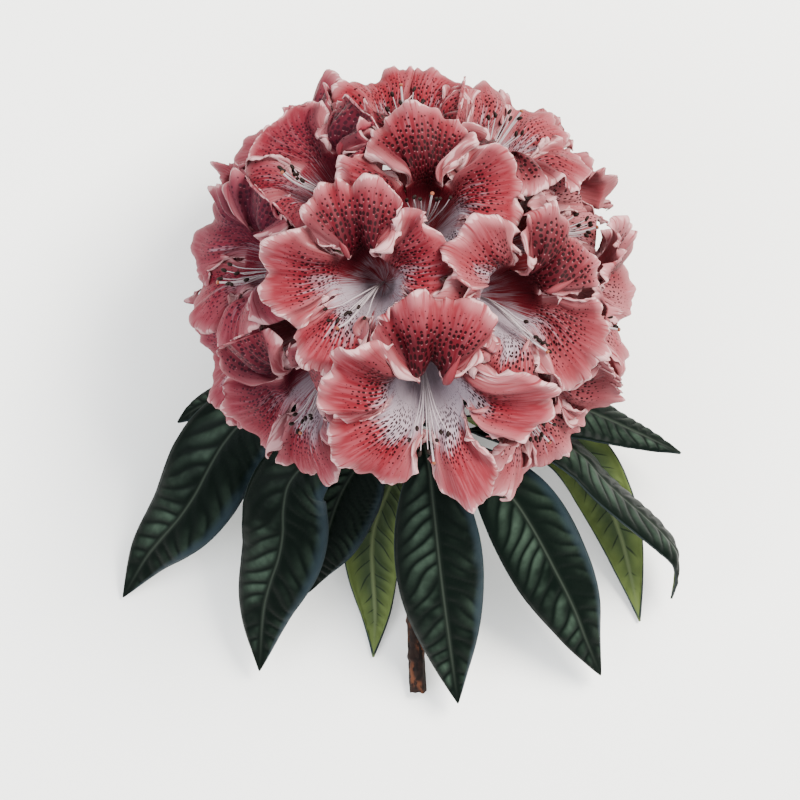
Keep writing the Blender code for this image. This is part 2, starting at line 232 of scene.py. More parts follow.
LEAVES = (
    Leaf(-105, 3, 32, (-0.1, 0.6, 1), ((-79, -51, -46), (-97, -55, -51), (-107, -62, -55))),
    Leaf(
        -80, 1, 39, (0.1, 0.3, 1), ((-72, -59, -31), (-103, -102, -53), (-121, -123, -73), (-134, -144, -92)),
    ),
    Leaf(-38, 2, 39, (-0.1, 0.2, 1), ((-52, -85, -21), (-59, -120, -40), (-67, -146, -59), (-70, -178, -83))),
    Leaf(-64, 6, 38, (0.2, 0.2, 1), ((-30, -92, -42), (-40, -120, -54), (-47, -141, -70))),
    Leaf(-150, 6, 26, (0, 0, -1), ((-6, -82, -58), (-17, -114, -77), (-16, -152, -91), (-17, -172, -93.5))),
    Leaf(0, 0, 39, (0, 0.2, 1), ((7.5, -76, -7), (11, -103, -17), (15, -138, -39), (22.5, -193, -81))),
    Leaf(40, 3, 38, (0.1, 0.2, 1), ((45, -94, -23), (71, -138, -50), (81.5, -162, -67), (89, -180, -83))),
    Leaf(132, 5, 26, (0.1, 0, -1), ((69, -70, -59), (94, -104, -77), (106, -146, -91), (107.6, -155, -93.5))),
    Leaf(72, 6, 30, (1, 0.6, 0.45), ((67, -70, -37), (93, -92, -43), (123, -121, -61), (122, -144, -77))),
    Leaf(92, 1, 32, (0, 0.8, 0.7), ((71, -54, -43), (97, -63, -48), (125, -76, -55))),
)


def colour(name, about, value):
    return FloatVectorProperty(
        name=name, description=about, subtype="COLOR", size=3, min=0.0, max=1.0, default=value
    )


def length(name, about, value):
    return FloatProperty(name=name, description=about, default=value, subtype="DISTANCE", unit="LENGTH")


def count(name, about, value):
    return IntProperty(name=name, description=about, default=value, min=5)


class PetalSettings(bpy.types.PropertyGroup):
    columns: count("Columns", "Faces across one lobe", 70)
    rows: count("Rows", "Faces from a lobe's foot to its tip", 36)
    hind_share: FloatProperty(name="Hind share", description="Share of these on a hind bloom", default=0.7)
    thickness: length("Thickness", "Thickness of a petal", 0.00045)
    frill: length("Frill", "How far the margin's crimps swing", 0.0026)
    deep: colour("Deep rose", "Petal between its light streaks", (0.120, 0.0060, 0.0105))
    rose: colour("Rose", "Light streaks of the petal", (0.205, 0.043, 0.052))
    rim: colour("Rim", "Pale margin", (0.39, 0.18, 0.185))
    edge: colour("Edge", "Nearly white edge", (0.47, 0.27, 0.27))
    throat: colour("Throat", "Lilac white of the throat", (0.26, 0.205, 0.23))
    blotch: colour("Blotch", "Crimson under the spots", (0.028, 0.0015, 0.0036))
    spot: colour("Spots", "Maroon of the spots", (0.0095, 0.0007, 0.0012))
    # Painted shade: the blooms facing left are darkened toward this mauve, as if turned away from the light.
    mauve: colour("Painted side shade", "Tinge of the blooms on the left", (0.065, 0.012, 0.027))


class StamenSettings(bpy.types.PropertyGroup):
    count: count("Stamens", "Stamens in a bloom", 7)
    radius: length("Radius", "Radius of a filament", 0.00028)
    filament: colour("Filament", "White of the filaments", (0.36, 0.30, 0.31))
    anther: colour("Anther", "Dark brown of the anthers", (0.010, 0.005, 0.0035))
    stigma: colour("Stigma", "Orange brown of the stigma", (0.17, 0.05, 0.025))


class LeafSettings(bpy.types.PropertyGroup):
    columns: count("Columns", "Faces across a leaf", 26)
    rows: count("Rows", "Faces along a leaf", 140)
    thickness: length("Thickness", "Thickness of a leaf", 0.0010)
    relief: length("Relief", "How far the blade bulges between its veins", 0.0009)
    upper: colour("Upper side", "Dark green of the upper side", (0.0010, 0.0030, 0.0018))
    # Painted sheen: the lit panels between the veins take this bluish green.
    gloss: colour("Painted sheen", "Bluish green of the bulges", (0.030, 0.048, 0.033))
    rib: colour("Midrib", "Pale green of the midrib", (0.026, 0.034, 0.025))
    # Painted sheen along one margin of each leaf.
    painted_margin_sheen: colour("Painted margin sheen", "Bluish band along one margin", (0.016, 0.026, 0.032))
    edge: colour("Edge", "Paler line round the blade", (0.022, 0.030, 0.030))
    under: colour("Underside", "Grey green of the underside", (0.036, 0.055, 0.022))
    under_edge: colour("Underside margin", "Yellow green near the margin", (0.095, 0.128, 0.034))
    under_vein: colour("Underside veins", "Dark green of the side veins", (0.008, 0.014, 0.008))
    under_rib: colour("Underside rib", "Pale green of the rib", (0.10, 0.125, 0.055))


class WoodSettings(bpy.types.PropertyGroup):
    rows: count("Rows", "Faces along the stem", 220)
    columns: count("Columns", "Faces round the stem", 48)
    bark: colour("Bark", "Dark brown of the bark", (0.013, 0.0065, 0.0045))
    patch: colour("Patches", "Orange brown of the young bark", (0.085, 0.028, 0.012))
    cut: colour("Cut wood", "Pale wood of the cut", (0.33, 0.23, 0.12))
    stalk: colour("Stalks", "Green of the stalks", (0.13, 0.14, 0.045))
    flush: colour("Flush", "Red flush of the stalks", (0.20, 0.045, 0.035))
    grain: colour("Grain", "Fine dark grain of the stalks", (0.05, 0.045, 0.015))


class StageSettings(bpy.types.PropertyGroup):
    floor: colour("Floor", "Colour of the floor", (0.97, 0.97, 0.92))
    key: FloatProperty(name="Key light", description="Power of the soft light", default=86.0, unit="POWER")
    fill: FloatProperty(name="Sky", description="Strength of the light from all round", default=2.0)
    height: length("Camera height", "Camera over the heart of the truss", 2.4)
    view_width: length("View width", "What the camera sees at that height", 0.36)


GROUPS = {
    "shoot_petals": PetalSettings,
    "shoot_stamens": StamenSettings,
    "shoot_leaves": LeafSettings,
    "shoot_wood": WoodSettings,
    "shoot_stage": StageSettings,
}


class Signal:
    """What a node gives out; arithmetic with it adds further nodes."""

    def __init__(self, finish, socket):
        self.finish = finish
        self.socket = socket

    def __add__(self, other):
        return self.finish.math("ADD", self, other)

    def __sub__(self, other):
        return self.finish.math("SUBTRACT", self, other)

    def __mul__(self, other):
        return self.finish.math("MULTIPLY", self, other)

    def step(self, low, high):
        """0 at low, 1 at high, with a soft step between; low may be the larger."""
        return self.finish.give("MapRange", self, low, high, 0, 1, interpolation_type="SMOOTHSTEP")


class Finish:
    """A material, whose nodes are added and linked by these short calls."""

    def __init__(self, name, body, roughness, gloss=0.5):
        self.material = bpy.data.materials.new(name)
        self.material.use_nodes = True
        self.tree = self.material.node_tree
        self.shader = self.tree.nodes["Principled BSDF"].inputs
        self.shader["Roughness"].default_value = roughness
        self.shader["Specular IOR Level"].default_value = gloss
        self.body = body

    def put(self, socket, value):
        if isinstance(value, Signal):
            self.tree.links.new(value.socket, socket)
        elif isinstance(value, (int, float)):
            socket.default_value = value
        else:
            socket.default_value = (*value, 1)[: len(socket.default_value)]

    def add(self, kind, inputs, **settings):
        """A node; inputs are set or linked, by number or name, and settings are its own properties."""
        made = self.tree.nodes.new("ShaderNode" + kind)
        for name, value in settings.items():
            setattr(made, name, value)
        for place, value in inputs.items():
            self.put(made.inputs[place], value)
        return made

    def give(self, kind, *values, output=0, **settings):
        """What a node gives out whose first inputs are these values."""
        return Signal(self, self.add(kind, dict(enumerate(values)), **settings).outputs[output])

    def math(self, operation, *values):
        return self.give("Math", *values, operation=operation)

    def mix(self, share, first, second):
        made = self.add("Mix", {0: share, 6: first, 7: second}, data_type="RGBA")
        return Signal(self, made.outputs[2])

    def cover(self, share, shade):
        """Lays the shade over the base colour so far."""
        self.body = self.mix(share, self.body, shade)
        self.put(self.shader["Base Color"], self.body)

    def mark(self, name):
        return self.give("Attribute", output="Fac", attribute_name=name)

    def spread(self, across=1, along=1):
        """The piece's own map, drawn out by so much."""
        places = self.give("UVMap", uv_map="surface")
        return self.give("VectorMath", places, (across, along, 0), operation="MULTIPLY")

    def noise(self, scale, detail=2):
        """Noise in space."""
        inputs = {"Vector": self.give("TexCoord", output="Object"), "Scale": scale, "Detail": detail}
        return Signal(self, self.add("TexNoise", inputs).outputs["Fac"])

    def grain(self, across, along, detail=2):
        """Noise on the piece's own map."""
        inputs = {"Vector": self.spread(across, along), "Scale": 1, "Detail": detail}
        return Signal(self, self.add("TexNoise", inputs, noise_dimensions="2D").outputs["Fac"])

    def bump(self, height, strength, distance):
        made = self.add("Bump", {"Height": height, "Strength": strength, "Distance": distance})
        self.put(self.shader["Normal"], Signal(self, made.outputs[0]))


def dimmed(shade, share):
    return [share * part for part in shade]


def petal_finish(name, settings, spotted):
    """Streaked rose with a pale rim, a lilac throat and, on the showy side, a blotch and rows of spots. Shade
    is painted in the valleys of the ruffles, in the creases and on the blooms facing left; light is painted
    on the ridges of the ruffles, beside the spots and on the blooms facing right.
    """
    finish = Finish(name, settings.deep, 0.55, 0.05)
    marks = ("margin", "blotch", "dots", "forward", "pallor", "mauve", "glow", "fold")
    margin, blotch, dots, forward, pallor, mauve, glow, fold = map(finish.mark, marks)
    streaks, clouds, painted_crease_shade = finish.grain(36, 3.6, 4), finish.grain(3, 2.2), finish.grain(62, 2)
    outer = (streaks * 24 + forward - 12).step(12, 40)
    # Painted shade: the fold shading holds the rose back in the valleys of the ruffles.
    light = (streaks.step(0.38, 0.64) * 0.5 + outer * 0.5) * fold.step(-0.9, 0.4)
    finish.cover(light, settings.rose)
    # The fold shading widens the pale rim on the ridges of the ruffles: a painted highlight.
    from_rim = margin + streaks * 8 - 4 + fold * -2.2
    finish.cover(from_rim.step(8, 0.5) * 0.4, settings.rim)
    finish.cover(from_rim.step(1.9, 0.3) * 0.85, settings.edge)
    # Painted light: the blooms facing right are paled toward the rim colour, as if lit more strongly.
    finish.cover(from_rim.step(20, 3) * glow, settings.rim)
    # Painted shade: thin dark lines in the creases near the margin.
    finish.cover(painted_crease_shade.step(0.58, 0.72) * margin.step(9, 3) * 0.75, settings.deep)
    finish.cover((pallor + clouds * 0.8 + streaks * 1.2 - 1).step(0.25, 0.85), settings.throat)
    crimson = (forward + clouds * 18 - 9).step(44, 9) * forward.step(-22, -6) * blotch
    finish.cover(crimson * (0.92 if spotted else 0.3), settings.blotch)
    if spotted:
        speckle(finish, dots, settings)
    # Painted shade: the blooms facing left turn darker and mauve.
    finish.cover(mauve * 0.4, settings.mauve)
    finish.bump(streaks, 0.5, 0.0007)
    return finish.material


def speckle(finish, dots, settings):
    """Rows of egg-shaped spots, each with a painted highlight, a pale fleck, on its throat side."""
    cells = finish.spread(26, 18)
    inputs = {"Vector": cells, "Scale": 1, "Randomness": 0.7}
    spots = finish.add("TexVoronoi", inputs, voronoi_dimensions="2D", feature="F1").outputs
    offset = finish.give("VectorMath", cells, Signal(finish, spots["Position"]), operation="SUBTRACT")
    egg = finish.give("SeparateXYZ", offset, output=1) * 0.35 + Signal(finish, spots["Distance"])
    # Painted highlight: a pale fleck in the rim colour beside each spot, on its throat side.
    throatward = finish.give("VectorMath", offset, (0, 0.44, 0), operation="ADD")
    painted_highlight = finish.give("VectorMath", throatward, output="Value", operation="LENGTH") - dots * 0.18
    finish.cover(painted_highlight.step(0.04, -0.06) * dots.step(0.3, 1) * 0.34, settings.rim)
    shown = (egg - (dots * 0.31 + 0.01)).step(0.04, -0.04) * dots.step(0.03, 0.15)
    finish.cover(shown, settings.spot)


def plain_finish(name, shade, roughness):
    """One colour with a soft mottle at the scale of small parts."""
    finish = Finish(name, shade, roughness, 0.1)
    clouds = finish.noise(900)
    finish.cover(clouds * 0.25, dimmed(shade, 0.35))
    finish.bump(clouds, 0.2, 0.0003)
    return finish.material


def leaf_finish(settings):
    """Leathery near-black green; the paler panels between thin veins are a painted sheen, stronger on one
    half of the blade, and the bluish band along one margin is a painted sheen too.
    """
    finish = Finish("leaf_upper", settings.upper, 0.42, 0.035)
    phase, inner, rib, margin = map(finish.mark, ("phase", "inner", "rib", "margin"))
    clouds = finish.noise(40, 3)
    across = finish.give("SeparateXYZ", finish.spread())
    part = finish.math("FRACT", phase)
    # Painted sheen: full on one half of the blade, under half as strong on the other, as if the light fell
    # from one side.
    near = across.step(0.98, 0.68) * across.step(0.5, 0.54)
    far = across.step(0.42, 0.12) * across.step(0.02, 0.10)
    lit = (finish.grain(9, 40, 4) * 0.8 + 0.35) * clouds.step(0.34, 0.60) * inner
    lit = lit * part.step(0, 0.25) * part.step(1, 0.3) * (far * 0.45 + near)
    finish.cover(lit, settings.gloss)
    # Painted sheen: a bluish band along the margin at one side of the map.
    finish.cover((clouds * -0.2 + across).step(0.06, -0.08) * 0.8, settings.painted_margin_sheen)
    finish.cover(margin.step(0.5, 0.1) * 0.6, settings.edge)
    finish.cover(rib * 0.8, settings.rib)
    finish.bump(finish.noise(700), 0.12, 0.0004)
    return finish.material


def underside_finish(settings):
    """Matt grey green with a yellower margin, a pale midrib and thin dark veins."""
    finish = Finish("leaf_underside", settings.under, 0.7, 0.1)
    phase, rib, margin = map(finish.mark, ("phase", "rib", "margin"))
    clouds = finish.noise(80, 3)
    finish.cover((clouds * 6 + margin - 3).step(9, 1.5), settings.under_edge)
    finish.cover(clouds * 0.4, dimmed(settings.under, 0.5))
    wave = finish.math("ABSOLUTE", finish.math("SINE", phase * pi))
    finish.cover(wave.step(0.20, 0.06) * margin.step(2, 6) * 0.85, settings.under_vein)
    finish.cover(rib, settings.under_rib)
    finish.bump(clouds, 0.15, 0.0005)
    return finish.material


def bark_finish(settings):
    """Rough dark bark with orange-brown patches, and pale wood where the shoot was cut."""
    finish = Finish("bark", settings.bark, 0.85, 0.15)
    flakes = finish.grain(10, 40, 5)
    finish.cover(finish.grain(3, 9).step(0.48, 0.66), settings.patch)
    finish.cover(flakes.step(0.55, 0.35), dimmed(settings.bark, 0.4))
    wood = finish.mix(finish.noise(1500), settings.cut, dimmed(settings.cut, 0.5))
    finish.cover(finish.mark("cut"), wood)
    finish.bump(flakes, 0.6, 0.0008)
    return finish.material


def stalk_finish(settings):
    """Soft green, flushed with red in long patches."""
    finish = Finish("stalk", settings.stalk, 0.6)
    grain = finish.noise(1200)
    finish.cover(finish.noise(90, 3).step(0.4, 0.7), settings.flush)
    finish.cover(grain * 0.3, settings.grain)
    finish.bump(grain, 0.2, 0.0003)
    return finish.material


def unit(vector):
    return np.asarray(vector, float) / np.linalg.norm(vector)


def units(vectors):
    return vectors / np.linalg.norm(vectors, axis=-1, keepdims=True)


def square_to(way, vectors):
    """The vectors turned square to way, as unit vectors."""
    return units(vectors - (vectors * way).sum(axis=-1, keepdims=True) * way)


def read_off(places, known, values):
    """What rows of values, known at some places, are at these."""
    return np.column_stack([np.interp(places, known, column) for column in values.T])


def summed(steps):
    """Where the ends of such steps lie, from nothing on."""
    return np.concatenate(([0], np.cumsum(steps)))


def round_turn(columns):
    """Angles of a ring's corners, the first of which comes again as the last."""
    return np.linspace(0, 2 * pi, columns + 1)


def soft_step(value, low, high):
    share = np.clip((np.asarray(value, float) - low) / (high - low), 0, 1)
    return share * share * (3 - 2 * share)


def hill(value, middle, width):
    return np.exp(-(((value - middle) / width) ** 2))


def smooth_path(knots, count):
    """count points at even distances along a smooth curve through the knots."""
    knots = np.asarray(knots, float)
    ends = np.vstack((2 * knots[0] - knots[1], knots, 2 * knots[-1] - knots[-2]))
    fine = []
    for before, start, stop, after in zip(ends, ends[1:], ends[2:], ends[3:]):
        for t in np.linspace(0, 1, 20, endpoint=False):
            curve = 2 * start + (stop - before) * t + (2 * before - 5 * start + 4 * stop - after) * t**2
            fine.append((curve + (3 * start - before - 3 * stop + after) * t**3) / 2)
    fine.append(knots[-1])
    fine = np.array(fine)
    run = summed(np.linalg.norm(np.diff(fine, axis=0), axis=1))
    return read_off(np.linspace(0, run[-1], count), run, fine)


def surface_normals(points):
    """A grid's unit normals, on the side from which its columns run rightward and its rows upward."""
    return units(np.cross(np.gradient(points, axis=1), np.gradient(points, axis=0)) + 1e-12)


def add_sheet(name, points, marks, spread):
    """A grid primitive whose corners are moved to points, an array of rows by columns.

    marks are numbers kept at each corner, which materials read, and spread is each corner's place on its map.
    """
    rows, columns = points.shape[0] - 1, points.shape[1] - 1
    bpy.ops.mesh.primitive_grid_add(x_subdivisions=columns, y_subdivisions=rows, size=2)
    piece = bpy.context.object
    piece.name = piece.data.name = name
    mesh = piece.data
    flat = np.empty(len(mesh.vertices) * 3)
    mesh.vertices.foreach_get("co", flat)
    corners = flat.reshape(-1, 3)
    row = np.round((corners[:, 1] + 1) / 2 * rows).astype(int)
    column = np.round((corners[:, 0] + 1) / 2 * columns).astype(int)
    mesh.vertices.foreach_set("co", ((points[row, column] + HEART) * MM).ravel())
    for mark, values in marks.items():
        held = mesh.attributes.new(mark, "FLOAT", "POINT")
        held.data.foreach_set("value", np.broadcast_to(values, points.shape[:2])[row, column])
    loops = np.empty(len(mesh.loops), int)
    mesh.loops.foreach_get("vertex_index", loops)
    mesh.uv_layers[0].name = "surface"
    mesh.uv_layers["surface"].data.foreach_set("uv", spread[row, column][loops].ravel())
    mesh.update()
    return piece


def pick(*pieces):
    """Selects the pieces and nothing else, with the first one active."""
    bpy.ops.object.select_all(action="DESELECT")
    for piece in pieces:
        piece.select_set(True)
    bpy.context.view_layer.objects.active = pieces[0]


def join(pieces, name):
    """One object of several, which have no finishes yet."""
    pick(*pieces)
    bpy.ops.object.join()
    made = bpy.context.object
    made.name = made.data.name = name
    return made


def dress(piece, nodes, finishes, weld=0.005, thickness=0.0):
    """Merges corners that lie within weld, thickens a sheet and puts the piece in its solids' place.

    The first finish is that of the front and the rim, and the second that of a sheet's back.
    """
    for finish in finishes:
        piece.data.materials.append(finish)
    pick(piece)
    bpy.ops.object.mode_set(mode="EDIT")
    bpy.ops.mesh.select_all(action="SELECT")
    bpy.ops.mesh.remove_doubles(threshold=weld * MM)
    bpy.ops.object.mode_set(mode="OBJECT")
    bpy.ops.object.shade_smooth()
    if thickness:
        shell = piece.modifiers.new("thickness", "SOLIDIFY")
        shell.thickness = thickness
        shell.offset = -1
        shell.material_offset = 1
        bpy.ops.object.modifier_apply(modifier=shell.name)
    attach(piece, "root")
    if nodes:
        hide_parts(*nodes)


def rolled(path, radii, columns):
    """A tube round a path as a grid of points, its seam closed; radii is one for each row, or a grid."""
    path = np.asarray(path, float)
    along = units(np.gradient(path, axis=0))
    side = unit(np.cross(along[0], (0.3, 0.5, 0.8)))
    sides = []
    for way in along:
        side = square_to(way, side)
        sides.append(side)
    sides = np.array(sides)
    across = np.cross(along, sides)
    angle = round_turn(columns)
    angle[-1] = 0
    angle = angle[None, :, None]
    radii = np.asarray(radii, float)
    radii = radii[:, None] if radii.ndim == 1 else radii
    ring = np.cos(angle) * sides[:, None] + np.sin(angle) * across[:, None]
    return path[:, None] + radii[..., None] * ring


def plain_spread(points):
    rows, columns = points.shape[:2]
    return np.stack(np.meshgrid(np.linspace(0, 1, columns), np.linspace(0, 1, rows)), axis=-1)


def add_tube(name, path, radii, columns):
    points = rolled(path, radii, columns)
    return add_sheet(name, points, {}, plain_spread(points))


def bloom_frame(bloom):
    """The bloom's axis, the way to its upper lobe and the way across."""
    axis = unit(bloom.way + np.asarray(bloom.nod))
    up = square_to(axis, np.asarray(bloom.up, float))
    return axis, up, np.cross(up, axis)


def stand(bloom, turn, local):
    """Places points that are sideways and outward of a lobe's middle line and along the bloom's axis."""
    axis, up, side = bloom_frame(bloom)
    turn = np.asarray(turn)[..., None]
    outward = np.cos(turn) * up + np.sin(turn) * side
    sideways = np.cos(turn) * side - np.sin(turn) * up
    spot = local[..., :1] * sideways + local[..., 1:2] * outward + local[..., 2:] * axis
    return bloom.way * bloom.throat + bloom.size * spot


def lobe_profile(lobe, past):
    """Radius and height over the throat, at a distance past it along the lobe's middle line."""
    steps = np.linspace(0, lobe.reach * 1.3, 60)
    opened = soft_step(steps, 0, lobe.bend)
    lean = THROAT_SLOPE + (lobe.opening - THROAT_SLOPE) * opened + lobe.curl * (steps / lobe.reach) ** 3
    middle = np.radians((lean[1:] + lean[:-1]) / 2)
    return [
        np.interp(past, steps, summed(np.diff(steps) * part)) for part in (np.sin(middle), np.cos(middle))
    ]


def lap(points, own, other):
    """How far points lie on their own bloom's side of the surface between two blooms, and the way off it.

    Low down this surface is the plane halfway between the two. Around the mouths it leans over the bloom that
    stands lower, so the higher one's lobes lie on the lower one's.
    """
    apart = unit(own.way - other.way)
    rank = np.clip((own.throat - other.throat) / RANK_STEP, -1, 1)
    distance = np.linalg.norm(points, axis=1)
    over = distance - (own.throat + other.throat + MOUTH_RISE * (own.size + other.size)) / 2
    fade = np.exp(-((over / TUCK_DEPTH) ** 2))
    lapped = np.tanh(LAP_SLOPE * np.maximum(over, 0) / LAP_REACH)
    shift = np.where(over > 0, LAP_REACH * lapped, TUCK_SLOPE * over * fade)
    tuck_slope = TUCK_SLOPE * fade * (1 - 2 * (over / TUCK_DEPTH) ** 2)
    slope = np.where(over > 0, LAP_SLOPE * (1 - lapped**2), tuck_slope)
    clear = points @ apart + rank * shift
    way = apart + (rank * slope / distance)[:, None] * points
    return clear, way


def settle(points, own, margin, thickness):
    """Moves points off the neighbouring blooms and up from the floor."""
    neighbours = [b for b in BLOOMS if b is not own and b.way @ own.way > NEIGHBOUR_COSINE]
    for _ in range(SETTLE_ROUNDS):
        for other in neighbours:
            clear, way = lap(points, own, other)
            short = np.minimum(clear - margin, 0)
            if short.any():
                points = points - (short / (way**2).sum(axis=1))[:, None] * way
        points[:, 2] = np.maximum(points[:, 2], FLOOR + thickness / 2)
    return points


def solid_lobe_points(bloom, lobe, index, across, along):
    """Where the solid's lobe has its corners, past the throat: the measure of the room it has."""
    reach = lobe.reach * (1 - 0.3 * np.abs(across) ** 2.2)
    angle = across * radians(SOLID_SPREAD)
    lateral = across * THROAT_RADIUS * sin(SECTOR / 2) + along * reach * np.sin(angle)
    forward = along * reach * np.cos(angle)
    radius, height = lobe_profile(lobe, forward)
    radius = radius + THROAT_RADIUS - lateral**2 / 2 / (THROAT_RADIUS + CROSS_BEND * forward)
    height = height + lobe.cup * lateral**2
    widest = radius * np.tan(SECTOR / 2) - 0.5 * along
    lateral = np.clip(lateral, -widest, widest)
    return stand(bloom, index * SECTOR, np.stack((lateral, radius, height), axis=-1))


def grown_lobe(bloom, index):
    """A bloom's lobe, as long as its neighbours leave room for."""
    across = np.array([-1, -0.5, 0, 0.5, 1, -1, 1])
    along = np.array([1, 1, 1, 1, 1, 0.5, 0.5])
    for share in ROOM_STEPS:
        lobe = replace(bloom.lobes[index], reach=bloom.lobes[index].reach * share)
        free = solid_lobe_points(bloom, lobe, index, across, along)
        moved = settle(free.copy(), bloom, SOLID_MARGIN, SOLID_PETAL) - free
        if np.linalg.norm(moved, axis=1).max() < MOST_PRESSED:
            break
    return replace(lobe, width=lobe.width * (0.6 + 0.4 * share))


def tube_rows(across, count):
    """The funnel under one lobe, in the lobe's own frame: sideways, outward and along the bloom's axis."""
    share = np.linspace(0, 1, count, endpoint=False)[:, None] ** 0.7
    low, rise, flare = TUBE_CURVE
    round_foot = np.sqrt(1 - (1 - np.clip(share / TUBE_FOOT, 0, 1)) ** 2)
    radius = (low + rise * share + flare * share**2) * round_foot
    angle = across * SECTOR / 2
    height = np.broadcast_to((share - 1) * TUBE_LENGTH, radius.shape)
    return np.stack((radius * np.sin(angle), radius * np.cos(angle), height + 0 * angle), axis=-1)


def lobe_margin(lobe, across, rng):
    """The outline of a lobe: a rounded, ragged, notched tip over sides that widen from the throat."""
    turn = across * pi / 2
    phase = rng.uniform(0, 2 * pi, 2)
    ragged = 0.022 * np.sin(9 * across + phase[0]) + 0.014 * np.sin(23 * across + phase[1])
    tip = lobe.reach * (1 + ragged - rng.uniform(0.05, 0.12) * hill(across, 0, 0.13))
    shoulder = SHOULDER * lobe.reach
    return lobe.width / 2 * np.sin(turn) * (1 + ragged), shoulder + (tip - shoulder) * np.cos(turn)


def blade_rows(lobe, index, across, count, rng):
    """One lobe past the throat, in its own frame, with the distance from its margin and along its rays."""
    past = np.linspace(0, 1, count + 1)[:, None]
    foot = THROAT_RADIUS * np.sin(across * SECTOR / 2)
    side_end, front_end = lobe_margin(lobe, across, rng)
    lateral = foot * (1 - past) + side_end * past
    lateral = lateral - WAIST * np.sin(pi * past) * np.sign(across) * across**4
    forward = front_end * past
    ray = np.hypot(side_end - foot, front_end)
    margin = np.minimum((1 - past) * ray, (1 - np.abs(across)) * (np.abs(lateral[:, -1:]) + 2))
    radius, height = lobe_profile(lobe, forward)
    bend = THROAT_RADIUS + CROSS_BEND * forward
    radius = radius + THROAT_RADIUS - (bend - np.sqrt(bend**2 - lateral**2))
    height = height + lobe.cup * lateral**2
    widest = np.maximum(radius * np.tan(SECTOR / 2), 1)
    give = 3.0 + (LOBE_OVERLAP if index else HOOD_OVERLAP)
    over = np.maximum(np.abs(lateral) - (widest - 3.0), 0)
    lateral = np.sign(lateral) * (np.abs(lateral) - over + give * np.tanh(over / give))
    lateral = lateral + rng.uniform(-0.10, 0.10) * forward * soft_step(past, 0, 0.5)
    crossing = soft_step(np.abs(lateral) / widest, 0.6, 1.05) * soft_step(past, 0, 0.35)
    layer = np.where(across < 0, LAYERS[index][0], LAYERS[index][1])
    height = height + (LAYER if index else HOOD_LAYER) * layer * crossing
    height = height + rng.uniform(-4.5, 4.5) * across * soft_step(past, 0.1, 1)
    return np.stack((lateral, radius, height), axis=-1), margin, past * ray


def crimp(local, lobe, index, across, margin, forward, pouch, frill, rng):
    """Ruffles the margin, waves the blade and swells the pouches over the throat; also gives the painted
    shade and highlight that the finish lays along the ruffles.
    """
    past = soft_step(forward, 0, 12)
    normals = surface_normals(local)
    phase = rng.uniform(0, 2 * pi, 6)
    top_run = 0.75 * lobe.width
    side_run = (1 - forward / forward[-1:]) * lobe.reach * SHOULDER
    run = across * top_run + np.sign(across) * np.abs(across) ** 4 * side_run
    swing = 0.65 + 0.35 * np.sin(run / 9 + phase[0])
    ruffles = np.sin(2 * pi * run / RUFFLE + phase[1] + np.sin(run / 5 + phase[2])) * np.exp(-margin / 6.5)
    pleats = 0.45 * np.sin(2 * pi * run / PLEAT + phase[3] + 1.5 * np.sin(run / 3.1)) * np.exp(-margin / 2.8)
    wave = 1.4 * np.sin(2 * pi * run / WAVE + phase[4]) * np.exp(-margin / 15)
    lip = -0.9 * np.exp(-margin / 1.5)
    push = frill * (swing * ruffles + swing * pleats + wave + lip)
    push = past * (push + 0.35 * np.sin(across * 9 + phase[5]) * np.exp(-margin / 12))
    lateral = local[..., 0]
    if index == 0:
        push = push + pouch * hill(np.abs(lateral), POUCH_ASIDE, 6.5) * hill(forward, POUCH_FORWARD, 7.5)
        push = push - past * 1.4 * hill(lateral, 0, 1.8) * hill(forward, 9, 14)
    else:
        push = push - past * 0.9 * hill(lateral, 0, 2.2) * hill(forward, 10, 14)
    # Painted shade and highlight: low in the valleys of the ruffles, high on their ridges.
    fold = past * (swing * (ruffles + 0.6 * pleats) + 0.25 * wave)
    return local + push[..., None] * normals, fold


def lobe_marks(index, across, margin, forward, white):
    """What the petals' finish reads: distances in millimetres, and how blotched, spotted and pale it is."""
    toward_upper = {0: 1 - 0 * across, 1: soft_step(-across, -0.8, 0.8), 4: soft_step(across, -0.8, 0.8)}
    kin = toward_upper.get(index, 0 * across)
    blotch = np.where(index == 0, 1, 0.85 * kin) * soft_step(margin, 1, 7)
    far = SIDE_SPOTTED if index else SPOTTED
    dots = soft_step(forward, far, far * 0.45) * soft_step(forward, -8, 0) * soft_step(margin, 3.5, 8)
    strength = 1.0 if index == 0 else 0.62 + 0.25 * np.maximum(kin, white)
    tongue = forward + 15.0 * np.abs(across) ** 1.5
    inside = 0.5 * soft_step(forward, -5, -15)
    pallor = white * np.maximum((1 - kin) * soft_step(tongue, 31, 1), inside)
    return {"margin": margin, "blotch": blotch, "dots": dots * strength, "forward": forward, "pallor": pallor}


